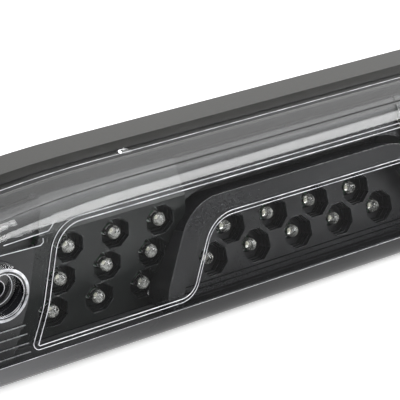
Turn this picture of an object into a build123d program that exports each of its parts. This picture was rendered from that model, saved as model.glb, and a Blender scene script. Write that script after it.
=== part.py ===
from build123d import *
from math import cos, radians, sin
import os

os.makedirs("parts", exist_ok=True)

# Frame: X runs along the lamp, Z is up, Y runs from the lit face (negative) to the
# vehicle body. The plane y = 0 is the mounting face; the origin is its centre.

# ---- outer form ---------------------------------------------------------------
HALF_LENGTH = 165.0
HALF_HEIGHT = 29.0
END_CORNER_TOP = 16.0
END_CORNER_BOTTOM = 14.0
CROWN_START = 80.0        # top edge is level up to here, then falls away to the ends
CROWN_RADIUS = 435.0
FACE_RAKE = 18.0          # the lit face leans back this many degrees
FACE_Y = -56.9            # the lit face crosses z = 0 here
FRONT_RADIUS = 8.0
BLOCK_FRONT_Y = -80.0     # well ahead of the face, where raw blocks begin

# ---- walls and the lens-to-housing joint ---------------------------------------
LENS_WALL = 2.4
LENS_STEP_Y = -24.8       # full-size lens skin ends here
LEG_INSET = 4.0
LEG_WALL = 2.4
LENS_FLANGE = 3.0         # the skin turns in to the leg over this depth
LEG_END_Y = -11.5
RIM_FRONT_Y = -14.0
RIM_WALL = 3.6
GROOVE_BOTTOM_Y = -8.0
INNER_RIM_INSET = 6.8
INNER_RIM_WALL = 2.0
INNER_RIM_FRONT_Y = -23.0
BACK_WALL_FRONT_Y = -6.5
BACK_WALL_REAR_Y = -3.5   # the foam gasket fills the last stretch to y = 0
SKIRT_REAR_Y = -0.5       # a thin skirt shields the edge of the foam
SKIRT_WALL = 2.4
GATE_CENTRE = (-65.0, 28.0)   # moulding gate left on the rear of the lens flange, as (x, z)
GATE_SIZE = (3.4, 4.4, 1.0)

# ---- raised contour on the lens, as (x, distance up the lit face) --------------
CONTOUR_RISE = 0.8
CONTOUR_STEP = 1.5
CONTOUR_TOP = 24.2
LOBE_FOOT = (-129.0, -17.0)
LOBE_KNEE = (-121.0, -3.0)
LOBE_SHOULDER = (-110.8, CONTOUR_TOP)
RECESS_FOOT = (-61.5, -17.0)
RECESS_TOP = 9.2
RECESS_SHOULDER = (-47.5, RECESS_TOP)
RECESS_FLOOR = -21.0
FOOT_RADIUS = 2.0
KNEE_RADIUS = 40.0
SHOULDER_RADIUS = 14.0
RECESS_FOOT_RADIUS = 10.0

# ---- mounting -------------------------------------------------------------------
SCREW_X = 135.0
SCREW_Z = 4.7
CUP_DEPTH = 5.0
CUP_OUTER_R = 10.0
CUP_INNER_R = 7.8
SEAT_R = 8.6
SEAT_THICK = 2.4
SCREW_HOLE_R = 3.2
POST_R = 6.25
LIMITER_R = 4.1
SEAL_THICK = 1.5

# ---- light sources --------------------------------------------------------------
LED_R = 2.5
LED_FLANGE_R = 2.9
LED_FLANGE_THICK = 1.0
LED_BARREL = 6.1          # flange seat to dome centre
LED_STANDOFF = 1.5
BOARD_THICK = 1.6
SIDE_DOME_Y = -40.0
SIDE_FIRST_X = -101.3
SIDE_FIRST_Z = 7.4
SIDE_COLUMN_PITCH = 19.1
SIDE_ROW_PITCH = 12.0
SIDE_ROW_SHIFT = -3.6     # each lower row steps towards the end of the lamp
CENTRE_DOME_DEPTH = 23.0  # behind the lit face, square to it
CENTRE_PITCH = 20.0
CENTRE_UPPER_V = 0.3
CENTRE_LOWER_V = -9.6

# ---- bezels ---------------------------------------------------------------------
SKIN = 1.6
SIDE_MOUTH_Y = -41.0
SIDE_BLOCK = 6.4
SIDE_WELL_R = 5.85
CENTRE_MOUTH = 18.6
CENTRE_BLOCK = 8.6
CENTRE_WELL_R = 6.3
WELL_STEPS = 3
WELL_STEP_WIDTH = 0.4
WELL_WALL = 1.0
OCTAGON_TURN = 22.5       # puts flats at the top, bottom and sides
LED_HOLE_R = 3.2
LEDGE_WIDTH = 6.8
GROOVE_WIDTH = 3.2        # open gap between the ledge and the plates around it
LEDGE_DEPTH = 8.5
LEDGE_WALL_DEPTH = 22.5   # its outer wall runs back to the lobe plates
TRIM_DEPTH = 13.5
TRIM_HALF_LENGTH = 52.0
PANEL_DEPTH = 12.0
PANEL_FROM_RECESS = 20.0
BEZEL_CLEARANCE = 0.6
CHIN_THICK = 1.2          # strip that lines the bottom of the lens
CHIN_TOP_V = -19.9
CHIN_GAP = 0.2

# ---- small features --------------------------------------------------------------
CUP_PROUD = 0.6
LEAD_PITCH = 2.54
LEAD_WIDTH = 0.6
SCREW_HEAD_R = 2.6
SCREW_HEAD_THICK = 1.8
SCREW_SHANK_R = 1.2
SCREW_SLOT = 0.7
SCREW_LENGTH = 7.0
PILOT_DEPTH = 7.0
POST_RIB = 1.8
POST_RIB_SPAN = 20.0
POST_RIB_TOP_Y = -32.0
BOARD_POST_R = 3.0
SIDE_POSTS = [
    (x * side, z) for side in (-1, 1) for x, z in ((113.0, 6.0), (72.0, 2.0), (98.0, -19.0))
]
CENTRE_POSTS = [(-49.0, -4.0), (49.0, -4.0)]
GROMMET_SITE = (24.0, 4.0)
GROMMET_NECK_R = 7.0
VENT_SITE = (-24.0, 4.0)
VENT_NECK_R = 3.0
BACK_RIB_RISE = 1.5
BACK_RIB_WIDTH = 1.8
BACK_RIB_HEIGHT = 24.0
BACK_RIBS = [(x * side, 0.0) for side in (-1, 1) for x in (50.0, 80.0, 110.0)]

# ---- bezel shapes -----------------------------------------------------------------
SIDE_BEZEL_OUTER_X = 136.0
SIDE_BEZEL_PROFILE = [
    (SIDE_MOUTH_Y, -26.0), (SIDE_MOUTH_Y, 14.6), (SIDE_MOUTH_Y + 6.0, 25.4),
    (SIDE_MOUTH_Y + 7.8, 25.4), (SIDE_MOUTH_Y + SKIN, 14.0), (SIDE_MOUTH_Y + SKIN, -26.0),
]
SIDE_BOSSES = [(76.0, -9.5), (94.5, 1.5), (112.0, -9.5)]
BOSS_R = 2.2
END_ZONE_SLANT = [(-136.4, -30.0), LOBE_KNEE, (-104.9, 40.0)]
END_ZONE_OUTER_X = -175.0   # past the end of the lamp
END_WALL_DEPTH = 5.0
POCKET_CENTRE = (-130.0, 17.5)
POCKET_SIZE = (38.0, 4.2)
POCKET_DEPTH = 3.0
PANEL_RIBS = [-10.4, -13.6, -16.9, -20.1]
PANEL_RIB_SIZE = (34.0, 1.1)
PANEL_RIB_X = -141.0
PANEL_RIB_RISE = 1.6

# ---- circuit boards and their parts -------------------------------------------------
SIDE_BOARD_CENTRE = (89.5, -4.5)
SIDE_BOARD_SIZE = (62.0, 39.0)
CENTRE_BOARD_V = -3.6
CENTRE_BOARD_SIZE = (112.0, 20.0)
BOARD_CORNER = 2.0
BOARD_HOLE_R = 1.5
RESISTOR_SIZE = (3.2, 1.6, 0.6)
DIODE_SIZE = (4.6, 2.6, 2.2)
CHIP_SIZE = (6.0, 5.0, 1.6)
CAPACITOR_R = 3.15
CAPACITOR_HEIGHT = 7.0
CONNECTOR_SIZE = (7.5, 5.5, 5.0)
SIDE_CONNECTOR = (64.5, 9.0)
CENTRE_CONNECTOR = (36.0, -3.5)
WIRE_R = 0.7
WIRE_SPACING = 2.5
WIRE_RISE = 8.0
WIRE_BEND = 3.6
RESISTOR_SITES = [
    (x * side, z) for side in (-1, 1) for z in (1.0, -12.0) for x in (84.0, 90.0, 104.0)
]
CENTRE_RESISTOR_SITES = [(x, -9.5) for x in (-15.0, -9.0, 9.0, 15.0)]
DIODE_SITES = [(-97.0, 12.0), (97.0, 12.0)]
CENTRE_DIODE_SITE = (18.0, 1.5)
CHIP_SITE = (0.0, -3.0)
CAPACITOR_SITES = [(-84.0, 9.0), (84.0, 9.0)]
CENTRE_CAPACITOR_SITE = (-18.0, -1.0)

# ---- gasket and fixings ---------------------------------------------------------------
GASKET_INSET = 3.0
GASKET_WIDTH = 8.0
GASKET_PAD_R = 11.0
GASKET_BAR_HEIGHT = 44.0
GROMMET_BORE_R = 3.0
GROMMET_FLANGE = 1.8
FLANGE_REACH = 2.0
VENT_PORT_R = 0.8
CENTRE_BOSSES = [(-20.0, 2.0), (20.0, 2.0)]
CENTRE_STEP_V = -17.6
CENTRE_STEP_SIZE = 1.6
CENTRE_STEP_HALF = 60.0
TRIM_CENTRE_V = 21.0
TRIM_HEIGHT = 19.0
TRIM_BEAD_OFFSET = 4.0
TRIM_BEAD_INSET = 2.0

NEAR = 0.01
RAKE_SIN = sin(radians(FACE_RAKE))
RAKE_COS = cos(radians(FACE_RAKE))
FACE = Plane(origin=(0, FACE_Y, 0), x_dir=(1, 0, 0), z_dir=(0, -RAKE_COS, RAKE_SIN))
INWARD = Axis((0, 0, 0), (0, -RAKE_COS, RAKE_SIN))
FACE_LEVEL = Plane(origin=(0, FACE_Y, 0), x_dir=(1, 0, 0), z_dir=(0, RAKE_SIN, RAKE_COS))
BEZEL_INSET = LENS_WALL + BEZEL_CLEARANCE


def upright(y):
    """Sketch plane across the lamp at a given y: sketch x is X, sketch y is Z."""
    return Plane.XZ.offset(-y)


def face_y(z):
    """Where the lit face lies at height z."""
    return FACE_Y + z * RAKE_SIN / RAKE_COS


def corner_pair(outline, corner):
    """Vertices of a sketch at a corner and at its mirror image."""
    x, v = corner
    return [
        point
        for point in outline.vertices()
        if abs(abs(point.X) - abs(x)) < NEAR and abs(point.Y - v) < NEAR
    ]


def lamp_outline(inset):
    """Outline of the lamp seen from the front, drawn inset below the outer skin."""
    fall = CROWN_RADIUS - (CROWN_RADIUS**2 - (HALF_LENGTH - CROWN_START) ** 2) ** 0.5
    end_top = HALF_HEIGHT - fall
    with BuildSketch() as outline:
        with BuildLine():
            Line((-CROWN_START, HALF_HEIGHT), (CROWN_START, HALF_HEIGHT))
            RadiusArc((CROWN_START, HALF_HEIGHT), (HALF_LENGTH, end_top), CROWN_RADIUS)
            Polyline(
                (HALF_LENGTH, end_top),
                (HALF_LENGTH, -HALF_HEIGHT),
                (-HALF_LENGTH, -HALF_HEIGHT),
                (-HALF_LENGTH, end_top),
            )
            RadiusArc((-HALF_LENGTH, end_top), (-CROWN_START, HALF_HEIGHT), CROWN_RADIUS)
        make_face()
        fillet(corner_pair(outline, (HALF_LENGTH, -HALF_HEIGHT)), radius=END_CORNER_BOTTOM)
        fillet(corner_pair(outline, (HALF_LENGTH, end_top)), radius=END_CORNER_TOP)
        if inset:
            offset(amount=-inset, kind=Kind.INTERSECTION)
    return outline.sketch


def prism(inset, front_y, rear_y):
    """Straight block with the lamp outline between two y positions."""
    with BuildPart() as block:
        with BuildSketch(upright(rear_y)):
            add(lamp_outline(inset))
        extrude(amount=rear_y - front_y)
    return block.part


def lamp_block(inset, rear_y):
    """Solid with the raked and rounded front of the lamp, inset below the skin."""
    with BuildPart() as block:
        add(prism(inset, BLOCK_FRONT_Y, rear_y))
        split(bisect_by=FACE.offset(-inset), keep=Keep.BOTTOM)
        fillet(block.faces().sort_by(INWARD)[-1].edges(), radius=FRONT_RADIUS - inset)
    return block.part


def chin_shell(outer, inner, top_v):
    """Layer that follows the bottom of the lens inside, between two insets, below v."""
    with BuildPart() as shell:
        add(lamp_block(outer, LENS_STEP_Y - LENS_FLANGE))
        add(lamp_block(inner, LENS_STEP_Y - LENS_FLANGE), mode=Mode.SUBTRACT)
        split(bisect_by=FACE_LEVEL.offset(top_v), keep=Keep.BOTTOM)
    return shell.part


def bezel_space():
    """Room inside the lens that the bezels may fill."""
    with BuildPart() as room:
        add(lamp_block(BEZEL_INSET, LENS_STEP_Y - LENS_FLANGE))
        add(
            chin_shell(LENS_WALL, BEZEL_INSET + CHIN_THICK + CHIN_GAP, CHIN_TOP_V + CHIN_GAP),
            mode=Mode.SUBTRACT,
        )
    return room.part


def mirrored(points):
    """The same points on the other half of the lamp, in reverse order."""
    return [(-x, v) for x, v in reversed(points)]


def contour_outline(inset):
    """Closed outline of the raised bridge, two lobes joined along the top, inside the face."""
    left_half = [LOBE_FOOT, LOBE_KNEE, LOBE_SHOULDER, (0.0, CONTOUR_TOP)]
    recess = [(0.0, RECESS_TOP), RECESS_SHOULDER, RECESS_FOOT]
    loop = left_half + mirrored(left_half[:-1]) + mirrored(recess[1:]) + recess[1:]
    with BuildSketch() as outline:
        with BuildLine():
            Polyline(*loop, close=True)
        make_face()
        for (corner, radius) in (
            (LOBE_FOOT, FOOT_RADIUS),
            (LOBE_KNEE, KNEE_RADIUS),
            (LOBE_SHOULDER, SHOULDER_RADIUS),
            (RECESS_SHOULDER, SHOULDER_RADIUS),
            (RECESS_FOOT, RECESS_FOOT_RADIUS),
        ):
            fillet(corner_pair(outline, corner), radius=radius)
        if inset:
            offset(amount=-inset, kind=Kind.INTERSECTION)
    return outline.sketch


def recess_outline(grow):
    """Outline of the recessed centre, grown outward, closed below the face."""
    loop = [(RECESS_FOOT[0], RECESS_FLOOR), RECESS_FOOT, RECESS_SHOULDER]
    with BuildSketch() as outline:
        with BuildLine():
            Polyline(*loop, *mirrored(loop), close=True)
        make_face()
        fillet(corner_pair(outline, RECESS_SHOULDER), radius=SHOULDER_RADIUS)
        fillet(corner_pair(outline, RECESS_FOOT), radius=RECESS_FOOT_RADIUS)
        if grow:
            offset(amount=grow, kind=Kind.INTERSECTION)
    return outline.sketch


def end_zone(side, shrink):
    """Area beyond the lobe on one side of the face, its slanted edge pulled in."""
    with BuildSketch() as zone:
        with BuildLine():
            Polyline(
                (-side * END_ZONE_OUTER_X, END_ZONE_SLANT[0][1]),
                *[(-side * (x - shrink), v) for x, v in END_ZONE_SLANT],
                (-side * END_ZONE_OUTER_X, END_ZONE_SLANT[-1][1]),
                close=True,
            )
        make_face()
    return zone.sketch


def well_sites_side(side):
    """Positions (x, z) of the nine lights in one lobe; side is -1 left, +1 right."""
    return [
        (-side * (SIDE_FIRST_X + col * SIDE_COLUMN_PITCH + row * SIDE_ROW_SHIFT),
         SIDE_FIRST_Z - row * SIDE_ROW_PITCH)
        for row in range(3)
        for col in range(3)
    ]


def well_sites_centre():
    """Positions (x, v) of the four upper and five lower lights in the centre."""
    upper = [((col - 1.5) * CENTRE_PITCH, CENTRE_UPPER_V) for col in range(4)]
    lower = [((col - 2) * CENTRE_PITCH, CENTRE_LOWER_V) for col in range(5)]
    return upper + lower


def sunk_wells(mouth, sites, radius, depth):
    """Stepped octagonal recesses and their light holes, cut back from a mouth plane."""
    with BuildPart() as cutter:
        for step in range(WELL_STEPS):
            with BuildSketch(mouth):
                with Locations(*sites):
                    RegularPolygon(
                        radius - WELL_STEP_WIDTH * step, 8,
                        major_radius=False, rotation=OCTAGON_TURN,
                    )
            extrude(amount=-depth * (step + 1) / (WELL_STEPS + 1))
        with BuildSketch(mouth):
            with Locations(*sites):
                Circle(LED_HOLE_R)
        extrude(amount=-depth - WELL_WALL)
    return cutter.part


def lights(seat, sites):
    """Clear round light bodies standing on a seat plane."""
    with BuildPart() as group:
        with BuildSketch(seat):
            with Locations(*sites):
                Circle(LED_FLANGE_R)
        extrude(amount=LED_FLANGE_THICK)
        with BuildSketch(seat):
            with Locations(*sites):
                Circle(LED_R)
        extrude(amount=LED_BARREL)
        with Locations(*[seat.offset(LED_BARREL) * Pos(x, v, 0) for x, v in sites]):
            Sphere(LED_R)
    return group.part


def light_leads(seat, sites):
    """Pairs of square leads between the light seats and the board face."""
    pins = [(x + shift, v) for x, v in sites for shift in (-LEAD_PITCH / 2, LEAD_PITCH / 2)]
    with BuildPart() as group:
        with BuildSketch(seat):
            with Locations(*pins):
                Rectangle(LEAD_WIDTH, LEAD_WIDTH)
        extrude(amount=-LED_STANDOFF)
    return group.part


def pan_screws(seat, sites):
    """Small pan-head screws whose heads sit on a plane and shanks run forward of it."""
    with BuildPart() as group:
        with BuildSketch(seat):
            with Locations(*sites):
                Circle(SCREW_HEAD_R)
                Rectangle(SCREW_SLOT, SCREW_HEAD_R, mode=Mode.SUBTRACT)
                Rectangle(SCREW_HEAD_R, SCREW_SLOT, mode=Mode.SUBTRACT)
        extrude(amount=-SCREW_HEAD_THICK)
        with BuildSketch(seat):
            with Locations(*sites):
                Circle(SCREW_SHANK_R)
        extrude(amount=SCREW_LENGTH)
    return group.part


# Planes that recur: the light seats, the boards behind them, and the well mouths.
SIDE_SEAT_Y = SIDE_DOME_Y + LED_BARREL
SIDE_BOARD_Y = SIDE_SEAT_Y + LED_STANDOFF
CENTRE_SEAT = FACE.offset(-(CENTRE_DOME_DEPTH + LED_BARREL))
CENTRE_BOARD = FACE.offset(-(CENTRE_DOME_DEPTH + LED_BARREL + LED_STANDOFF))
CUP_MOUTH_Y = face_y(SCREW_Z)
CUP_REAR_Y = CUP_MOUTH_Y + CUP_DEPTH + SEAT_THICK
POST_TOP_Y = CUP_REAR_Y + SEAL_THICK
SCREW_SITES = [(-SCREW_X, SCREW_Z), (SCREW_X, SCREW_Z)]
ROOM = bezel_space()

# ---- outer lens -----------------------------------------------------------------
with BuildPart() as outer_lens:
    add(lamp_block(0, LENS_STEP_Y))
    add(prism(LEG_INSET, LENS_STEP_Y - LENS_FLANGE, LEG_END_Y))
    add(lamp_block(LENS_WALL, LENS_STEP_Y - LENS_FLANGE), mode=Mode.SUBTRACT)
    add(prism(LEG_INSET + LEG_WALL, LENS_STEP_Y - 2 * LENS_FLANGE, LEG_END_Y), mode=Mode.SUBTRACT)
    with Locations((GATE_CENTRE[0], LENS_STEP_Y + GATE_SIZE[1] / 2, GATE_CENTRE[1])):
        Box(*GATE_SIZE)
    for step in range(2):
        with BuildSketch(FACE):
            add(contour_outline(step * CONTOUR_STEP))
        extrude(amount=(step + 1) * CONTOUR_RISE)
    # Screw cups: short tubes through the lit face, each with a recess for its seat at the rear.
    with BuildSketch(upright(CUP_REAR_Y)):
        with Locations(*SCREW_SITES):
            Circle(CUP_OUTER_R)
    extrude(amount=CUP_REAR_Y - CUP_MOUTH_Y + CUP_PROUD)
    with BuildSketch(upright(CUP_REAR_Y)):
        with Locations(*SCREW_SITES):
            Circle(CUP_INNER_R)
    extrude(amount=SEAT_THICK + CUP_DEPTH + FRONT_RADIUS, mode=Mode.SUBTRACT)
    with BuildSketch(upright(CUP_REAR_Y)):
        with Locations(*SCREW_SITES):
            Circle(SEAT_R)
    extrude(amount=SEAT_THICK, mode=Mode.SUBTRACT)

# ---- seats: discs at the bottom of the screw cups, under the screw heads ----------
with BuildPart() as cup_seats:
    with BuildSketch(upright(CUP_REAR_Y)):
        with Locations(*SCREW_SITES):
            Circle(SEAT_R)
            Circle(SCREW_HOLE_R, mode=Mode.SUBTRACT)
    extrude(amount=SEAT_THICK)

# ---- housing: rear tub, glue groove, screw posts and board posts -----------------
with BuildPart() as housing:
    add(prism(0, RIM_FRONT_Y, SKIRT_REAR_Y))
    add(prism(SKIRT_WALL, BACK_WALL_REAR_Y, SKIRT_REAR_Y), mode=Mode.SUBTRACT)
    add(prism(RIM_WALL, RIM_FRONT_Y, GROOVE_BOTTOM_Y), mode=Mode.SUBTRACT)
    add(prism(INNER_RIM_INSET, INNER_RIM_FRONT_Y, BACK_WALL_REAR_Y))
    add(
        prism(INNER_RIM_INSET + INNER_RIM_WALL, INNER_RIM_FRONT_Y, BACK_WALL_FRONT_Y),
        mode=Mode.SUBTRACT,
    )
    with BuildSketch(upright(BACK_WALL_FRONT_Y)):
        with Locations(*SCREW_SITES):
            Circle(POST_R)
            Rectangle(POST_RIB_SPAN, POST_RIB)
            Rectangle(POST_RIB, POST_RIB_SPAN)
    extrude(amount=BACK_WALL_FRONT_Y - POST_RIB_TOP_Y)
    with BuildSketch(upright(BACK_WALL_FRONT_Y)):
        with Locations(*SCREW_SITES):
            Circle(POST_R)
    extrude(amount=BACK_WALL_FRONT_Y - POST_TOP_Y)
    with BuildSketch(upright(BACK_WALL_FRONT_Y)):
        with Locations(*SIDE_POSTS):
            Circle(BOARD_POST_R)
    extrude(amount=BACK_WALL_FRONT_Y - SIDE_BOARD_Y - BOARD_THICK)
    with BuildSketch(CENTRE_BOARD.offset(-BOARD_THICK)):
        with Locations(*CENTRE_POSTS):
            Circle(BOARD_POST_R)
    extrude(until=Until.NEXT, dir=(0, RAKE_COS, -RAKE_SIN))
    # Bores for the metal sleeves, pilot holes for the board screws, wall openings.
    with BuildSketch(upright(BACK_WALL_REAR_Y)):
        with Locations(*SCREW_SITES):
            Circle(LIMITER_R)
    extrude(amount=BACK_WALL_REAR_Y - POST_TOP_Y, mode=Mode.SUBTRACT)
    with BuildSketch(upright(SIDE_BOARD_Y + BOARD_THICK + PILOT_DEPTH)):
        with Locations(*SIDE_POSTS):
            Circle(SCREW_SHANK_R)
    extrude(amount=PILOT_DEPTH, mode=Mode.SUBTRACT)
    with BuildSketch(CENTRE_BOARD.offset(-BOARD_THICK - PILOT_DEPTH)):
        with Locations(*CENTRE_POSTS):
            Circle(SCREW_SHANK_R)
    extrude(amount=PILOT_DEPTH, mode=Mode.SUBTRACT)
    with BuildSketch(upright(BACK_WALL_REAR_Y)):
        with Locations(GROMMET_SITE):
            Circle(GROMMET_NECK_R)
        with Locations(VENT_SITE):
            Circle(VENT_NECK_R)
    extrude(amount=BACK_WALL_REAR_Y - BACK_WALL_FRONT_Y, mode=Mode.SUBTRACT)
    # Stiffening ribs on the back, inside the gasket ring.
    with BuildSketch(upright(BACK_WALL_REAR_Y + BACK_RIB_RISE)):
        with Locations(*BACK_RIBS):
            Rectangle(BACK_RIB_WIDTH, BACK_RIB_HEIGHT)
    extrude(amount=BACK_RIB_RISE)

# ---- foam gasket, glue bead, seals and metal sleeves -------------------------------
with BuildPart() as rear_gasket:
    add(prism(GASKET_INSET, BACK_WALL_REAR_Y, 0.0))
    add(prism(GASKET_INSET + GASKET_WIDTH, BACK_WALL_REAR_Y, 0.0), mode=Mode.SUBTRACT)
    with BuildSketch(upright(0.0)):
        with Locations(*SCREW_SITES):
            Circle(GASKET_PAD_R)
            Circle(LIMITER_R, mode=Mode.SUBTRACT)
        Rectangle(GASKET_WIDTH, GASKET_BAR_HEIGHT)
    extrude(amount=-BACK_WALL_REAR_Y)

with BuildPart() as lens_sealant:
    add(prism(RIM_WALL, LEG_END_Y, GROOVE_BOTTOM_Y))
    add(prism(INNER_RIM_INSET, LEG_END_Y, GROOVE_BOTTOM_Y), mode=Mode.SUBTRACT)

with BuildPart() as compression_limiters:
    with BuildSketch(upright(0.0)):
        with Locations(*SCREW_SITES):
            Circle(LIMITER_R)
            Circle(SCREW_HOLE_R, mode=Mode.SUBTRACT)
    extrude(amount=-POST_TOP_Y)

with BuildPart() as tunnel_seals:
    with BuildSketch(upright(POST_TOP_Y)):
        with Locations(*SCREW_SITES):
            Circle(POST_R)
            Circle(SCREW_HOLE_R, mode=Mode.SUBTRACT)
    extrude(amount=SEAL_THICK)

# ---- strip lining the bottom of the lens --------------------------------------------
with BuildPart() as lower_trim:
    add(chin_shell(BEZEL_INSET, BEZEL_INSET + CHIN_THICK, CHIN_TOP_V))

# ---- centre bezel: recessed tray with a raised S-shaped frame ------------------------
with BuildPart() as centre_bezel:
    with BuildSketch(FACE.offset(-CENTRE_MOUTH - SKIN)):
        add(recess_outline(SKIN))
    extrude(amount=CENTRE_MOUTH + SKIN - LEDGE_DEPTH)
    with BuildSketch(FACE.offset(-CENTRE_MOUTH)):
        add(recess_outline(0))
    extrude(amount=CENTRE_MOUTH, mode=Mode.SUBTRACT)
    with BuildSketch(FACE.offset(-LEDGE_DEPTH - SKIN)):
        add(recess_outline(LEDGE_WIDTH))
        add(recess_outline(SKIN), mode=Mode.SUBTRACT)
    extrude(amount=SKIN)
    with BuildSketch(FACE.offset(-LEDGE_WALL_DEPTH)):
        add(recess_outline(LEDGE_WIDTH))
        add(recess_outline(LEDGE_WIDTH - SKIN), mode=Mode.SUBTRACT)
    extrude(amount=LEDGE_WALL_DEPTH - LEDGE_DEPTH)
    with BuildSketch(FACE.offset(-CENTRE_MOUTH - CENTRE_BLOCK)):
        with Locations(*well_sites_centre()):
            Circle(CENTRE_WELL_R + WELL_WALL)
    extrude(amount=CENTRE_BLOCK)
    with BuildSketch(FACE.offset(-CENTRE_MOUTH)):
        with Locations((0, CENTRE_STEP_V)):
            Rectangle(2 * CENTRE_STEP_HALF, CENTRE_STEP_SIZE)
        with Locations((0, CENTRE_STEP_V - CENTRE_STEP_SIZE)):
            Rectangle(2 * CENTRE_STEP_HALF, CENTRE_STEP_SIZE)
    extrude(amount=CENTRE_STEP_SIZE)
    with BuildSketch(FACE.offset(-CENTRE_MOUTH + CENTRE_STEP_SIZE)):
        with Locations((0, CENTRE_STEP_V - CENTRE_STEP_SIZE)):
            Rectangle(2 * CENTRE_STEP_HALF, CENTRE_STEP_SIZE)
    extrude(amount=CENTRE_STEP_SIZE)
    add(
        sunk_wells(FACE.offset(-CENTRE_MOUTH), well_sites_centre(), CENTRE_WELL_R, CENTRE_BLOCK),
        mode=Mode.SUBTRACT,
    )
    with BuildSketch(FACE.offset(-CENTRE_MOUTH - SKIN)):
        with Locations(*CENTRE_BOSSES):
            Circle(BOSS_R)
    extrude(amount=-(CENTRE_DOME_DEPTH + LED_BARREL + LED_STANDOFF - CENTRE_MOUTH - SKIN))
    add(ROOM, mode=Mode.INTERSECT)

with BuildPart() as upper_trim:
    with BuildSketch(FACE.offset(-TRIM_DEPTH - SKIN)):
        with Locations((0, TRIM_CENTRE_V)):
            Rectangle(2 * TRIM_HALF_LENGTH, TRIM_HEIGHT)
        add(recess_outline(LEDGE_WIDTH + GROOVE_WIDTH), mode=Mode.SUBTRACT)
    extrude(amount=SKIN)
    with BuildSketch(FACE.offset(-TRIM_DEPTH - SKIN)):
        with Locations((0, TRIM_CENTRE_V + TRIM_BEAD_OFFSET)):
            Rectangle(2 * (TRIM_HALF_LENGTH - TRIM_BEAD_INSET), SKIN)
    extrude(amount=-TRIM_BEAD_OFFSET)
    add(ROOM, mode=Mode.INTERSECT)


def side_bezel(side):
    """Bezel of one lobe: a plate with nine wells, swept back along its top edge."""
    near = side * TRIM_HALF_LENGTH
    far = side * SIDE_BEZEL_OUTER_X
    sites = well_sites_side(side)
    with BuildPart() as bezel:
        with BuildSketch(Plane.YZ.offset(min(near, far))):
            Polygon(*SIDE_BEZEL_PROFILE, align=None)
        extrude(amount=abs(far - near))
        with BuildSketch(upright(SIDE_MOUTH_Y + SIDE_BLOCK)):
            with Locations(*sites):
                Circle(SIDE_WELL_R + WELL_WALL)
        extrude(amount=SIDE_BLOCK)
        add(sunk_wells(upright(SIDE_MOUTH_Y), sites, SIDE_WELL_R, SIDE_BLOCK), mode=Mode.SUBTRACT)
        with BuildSketch(upright(SIDE_BOARD_Y)):
            with Locations(*[(side * x, z) for x, z in SIDE_BOSSES]):
                Circle(BOSS_R)
        extrude(amount=SIDE_BOARD_Y - SIDE_MOUTH_Y - SKIN)
        with BuildSketch(FACE):
            add(recess_outline(LEDGE_WIDTH))
            add(end_zone(side, 0.0))
        extrude(amount=-(CENTRE_MOUTH + SIDE_BLOCK), mode=Mode.SUBTRACT)
        add(ROOM, mode=Mode.INTERSECT)
    return bezel.part


def end_panel(side):
    """Blank panel beside one lobe, with a pocket, a row of ribs and a post hole."""
    rib_x = side * -PANEL_RIB_X
    pocket = FACE.offset(-PANEL_DEPTH) * Pos(side * -POCKET_CENTRE[0], POCKET_CENTRE[1], 0)
    with BuildPart() as panel:
        with BuildSketch(FACE.offset(-PANEL_DEPTH - SKIN)):
            add(end_zone(side, 0.0))
        extrude(amount=SKIN)
        with BuildSketch(FACE.offset(-PANEL_DEPTH - END_WALL_DEPTH)):
            add(end_zone(side, 0.0))
            add(end_zone(side, SKIN), mode=Mode.SUBTRACT)
        extrude(amount=END_WALL_DEPTH)
        with Locations(pocket):
            Box(POCKET_SIZE[0] + 2 * SKIN, POCKET_SIZE[1] + 2 * SKIN, 2 * POCKET_DEPTH + 2 * SKIN)
        with BuildSketch(FACE.offset(-PANEL_DEPTH)):
            add(end_zone(side, -SKIN))
            add(recess_outline(PANEL_FROM_RECESS))
        extrude(amount=PANEL_DEPTH, mode=Mode.SUBTRACT)
        with Locations(pocket):
            Box(*POCKET_SIZE, 2 * POCKET_DEPTH, mode=Mode.SUBTRACT)
        with BuildSketch(FACE.offset(-PANEL_DEPTH)):
            with Locations(*[(rib_x, v) for v in PANEL_RIBS]):
                Rectangle(*PANEL_RIB_SIZE)
        extrude(amount=PANEL_RIB_RISE)
        with BuildSketch(FACE.offset(-PANEL_DEPTH - END_WALL_DEPTH)):
            add(end_zone(side, 0.0))
        extrude(amount=PANEL_DEPTH + END_WALL_DEPTH, mode=Mode.INTERSECT)
        with BuildSketch(upright(0.0)):
            with Locations((side * SCREW_X, SCREW_Z)):
                Circle(POST_R)
        extrude(amount=-CUP_MOUTH_Y, mode=Mode.SUBTRACT)
        add(ROOM, mode=Mode.INTERSECT)
    return panel.part


with BuildPart() as left_bezel:
    add(side_bezel(-1))

with BuildPart() as right_bezel:
    add(side_bezel(1))

with BuildPart() as left_end_panel:
    add(end_panel(-1))

with BuildPart() as right_end_panel:
    add(end_panel(1))

# ---- circuit boards -------------------------------------------------------------------
SIDE_SEAT = upright(SIDE_SEAT_Y)
SIDE_BOARD_REAR = Plane(
    origin=(0, SIDE_BOARD_Y + BOARD_THICK, 0), x_dir=(-1, 0, 0), z_dir=(0, 1, 0)
)
CENTRE_BOARD_REAR = Plane(
    origin=CENTRE_BOARD.offset(-BOARD_THICK).origin,
    x_dir=(-1, 0, 0),
    z_dir=(0, RAKE_COS, -RAKE_SIN),
)


def side_board(side):
    """Board behind one lobe, with clearance holes for its three screws."""
    with BuildPart() as board:
        with BuildSketch(upright(SIDE_BOARD_Y + BOARD_THICK)):
            with Locations((side * SIDE_BOARD_CENTRE[0], SIDE_BOARD_CENTRE[1])):
                RectangleRounded(*SIDE_BOARD_SIZE, BOARD_CORNER)
            with Locations(*[post for post in SIDE_POSTS if post[0] * side > 0]):
                Circle(BOARD_HOLE_R, mode=Mode.SUBTRACT)
        extrude(amount=BOARD_THICK)
    return board.part


with BuildPart() as left_circuit_board:
    add(side_board(-1))

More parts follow.
